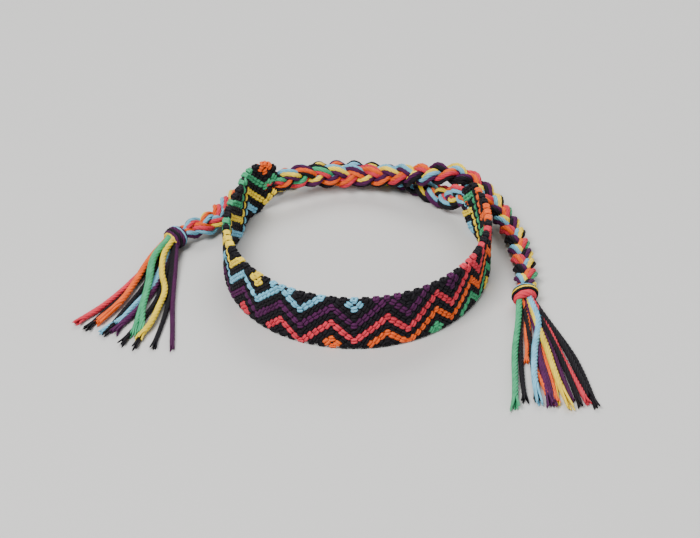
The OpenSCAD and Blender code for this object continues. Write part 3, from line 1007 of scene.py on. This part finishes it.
# Loose ends: x and y of the tip, bends to the left of the way at equal shares of the length,
# start across the knot's mouth, height of the start, how high it lies on the others, radius,
# all in millimetres, then the dye and the length that comes apart.
tassels = {"right": [
    (33.6, -55.7, (-0.1, -0.5, -0.4), -1.2, 0.3, 0.3, 0.76, "green", 5),
    (36.0, -53.2, (-0.6,), -0.9, -0.4, 0, 0.60, "black", 4),
    (37.1, -38.3, (0.7, 0.3, 0.1), -0.6, 0.0, 0, 0.50, "orange", 3),
    (38.8, -54.3, (1.5, 0.1, -0.6), 1.0, 0.2, 0.8, 0.78, "lightBlue", 8),
    (38.6, -52.4, (0.2,), -0.3, -0.5, 0, 0.60, "black", 5),
    (41.1, -54.6, (0.8, 0.3, 0.4), 0.2, -0.4, 0, 0.72, "purple", 6),
    (41.8, -54.3, (0.7, 0.1, 0.2), 0.5, -0.4, 0.3, 0.62, "purple", 5),
    (42.5, -53.9, (0.5, 0.5, 0.6), 0.4, -0.8, 0, 0.60, "orange", 4),
    (40.8, -50.5, (-0.4, -1.0, -1.1), 0.0, -0.8, 0, 0.56, "orange", 3),
    (45.0, -55.7, (-0.2, 0.1, 0.0), 0.8, 0.0, 0.6, 0.76, "yellow", 9),
    (43.3, -53.9, (0.3, 0.4, 0.6), 0.6, -0.2, 0.2, 0.34, "yellow", 4),
    (45.9, -52.6, (0.9,), 0.7, -0.3, 0, 0.56, "purple", 4),
    (49.4, -53.6, (0.8, 0.3, 0.0), 1.2, 0.3, 0, 0.66, "pink", 3),
    (47.6, -54.6, (1.0,), 1.0, -0.3, 0.3, 0.66, "black", 4),
    (49.9, -52.2, (1.2,), 1.3, -0.2, 0.5, 0.66, "black", 4),
    (51.3, -55.0, (1.8,), 1.4, 0.2, 0, 0.62, "black", 4),
], "left": [
    (-62.9, -23.2, (1.3, 1.6, 1.2), -1.2, 0.0, 0, 0.72, "pink", 3),
    (-60.4, -25.6, (0.9,), -1.0, -0.4, 0, 0.60, "black", 4),
    (-58.4, -23.6, (-0.3, 0.5, 1.0), -1.0, 0.4, 0.4, 0.80, "orange", 11),
    (-57.1, -26.9, (1.8, 3.0, 2.3), -0.4, -0.8, 0, 0.60, "lightBlue", 2),
    (-56.2, -27.6, (0.8,), -0.6, -0.5, 0, 0.60, "black", 4),
    (-54.6, -26.8, (1.5, 2.6, 2.0), 0.1, -0.6, 0, 0.74, "purple", 5),
    (-53.7, -23.1, (1.4, 2.5, 1.2), -0.2, -0.2, 0.4, 0.60, "lightBlue", 4),
    (-48.2, -27.8, (-2.3, -1.5, -1.0), -0.3, 1.0, 1.2, 0.72, "green", 5),
    (-50.1, -28.2, (-2.0, -0.8, -0.3), -0.8, 1.0, 1.0, 0.62, "green", 5),
    (-49.1, -29.8, (-0.9, 0.0, 2.3, 2.5, 2.0), 0.5, 0.8, 0.7, 0.76, "yellow", 4),
    (-52.0, -31.4, (2.4,), 0.3, -0.5, 0, 0.60, "black", 4),
    (-49.4, -32.6, (2.4,), 0.7, -0.2, 0, 0.60, "black", 4),
    (-45.0, -32.6, (1.2,), 0.9, 0.3, 0, 0.58, "black", 4),
    (-41.0, -33.2, (-0.1,), 1.2, 0.2, 0, 0.62, "purple", 5),
]}
tasselLook = {
    "step": 0.6 * mm,
    "inKnot": 0.9 * mm,  # length of string inside the knot's mouth
    "wave": 0.2 * mm, "waves": 1.3,
    "fall": 3,  # how fast a string comes down to the table
    "liftStart": 6, "liftEnd": 5,
    "hairs": 330000.0, "seed": 80,
    "main": {"right": "lightBlue", "left": "yellow"},
}


# Smooth bends at equal shares of the length, none at both ends.
def bendAt(bends, share):
    values = [0, 0, *bends, 0, 0]
    place = share * (len(bends) + 1)
    index = min(int(place), len(bends))
    return smoothValue(*values[index:index + 4], place - index)


def tasselStrings(knot, rows):
    look = tasselLook
    chance = random.Random(look["seed"])
    move = knotTransform(knot)
    strings = []
    for tipX, tipY, bends, start, high, lift, thick, dye, frayed in rows:
        radius = thick * mm
        origin = move @ Vector((start * mm, look["inKnot"] - knotSize["length"] / 2, high * mm))
        tip = Vector((tipX * mm, tipY * mm, radius))
        along = Vector((tip.x - origin.x, tip.y - origin.y, 0))
        across = Vector((-along.y, along.x, 0)).normalized()
        count = ceil(along.length / look["step"])
        phase = chance.uniform(0, 2 * pi)
        line = []
        for index in range(count + 1):
            share = index / count
            wave = look["wave"] * share * sin(2 * pi * look["waves"] * share + phase)
            place = origin.lerp(tip, share) + across * (bendAt(bends, share) * mm + wave)
            place.z = (radius + (origin.z - radius) * (1 - share) ** look["fall"]
                       + lift * mm * min(1, look["liftStart"] * share,
                                         look["liftEnd"] * (1 - share)))
            line.append(place)
        strings.append((line, dye, radius, frayed * mm, chance.random()))
    return strings


for side, rows in tassels.items():
    piece = makeFloss(f"{side}_tassel_floss", tasselStrings(knots[side], rows),
                      tasselLook["hairs"])
    dressed.append((piece, f"{side}_tassel", tasselLook["main"][side]))
print("tassels cut")


# Pale floor, soft lamps and the camera.
half = studio["floor"] / 2
mesh = bpy.data.meshes.new("floor")
mesh.from_pydata([(-half, -half, 0), (half, -half, 0), (half, half, 0), (-half, half, 0)],
                 [], [(0, 1, 2, 3)])
floor = addObject("floor", mesh)
paper = bpy.data.materials.new("palePaper")
paper.use_nodes = True
shader = paper.node_tree.nodes["Principled BSDF"]
shader.inputs["Base Color"].default_value = studio["floorColour"]
shader.inputs["Roughness"].default_value = studio["floorRoughness"]
mesh.materials.append(paper)
for name, (place, watts, width) in studio["lamps"].items():
    lamp = bpy.data.lights.new(name, "AREA")
    lamp.energy = watts
    lamp.size = width
    light = addObject(name, lamp)
    light.location = place
    light.rotation_euler = (-Vector(place)).to_track_quat("-Z", "Y").to_euler()
world = bpy.data.worlds.new("studio")
world.use_nodes = True
sky = world.node_tree.nodes["Background"]
sky.inputs["Color"].default_value = studio["sky"]
sky.inputs["Strength"].default_value = studio["skyLight"]
bpy.context.scene.world = world
lens = bpy.data.cameras.new("camera")
lens.lens = view["lens"]
lens.clip_start = view["nearest"]
camera = addObject("camera", lens)
camera.location = view["place"]
camera.rotation_euler = (radians(90 - view["down"]), 0, 0)
bpy.context.scene.camera = camera

for piece in (core, outerKnots, innerKnots, edgeLoops):
    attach(piece, "root")
    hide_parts("band")
for piece, node, dye in dressed:
    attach(piece, "root")
    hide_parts(node)
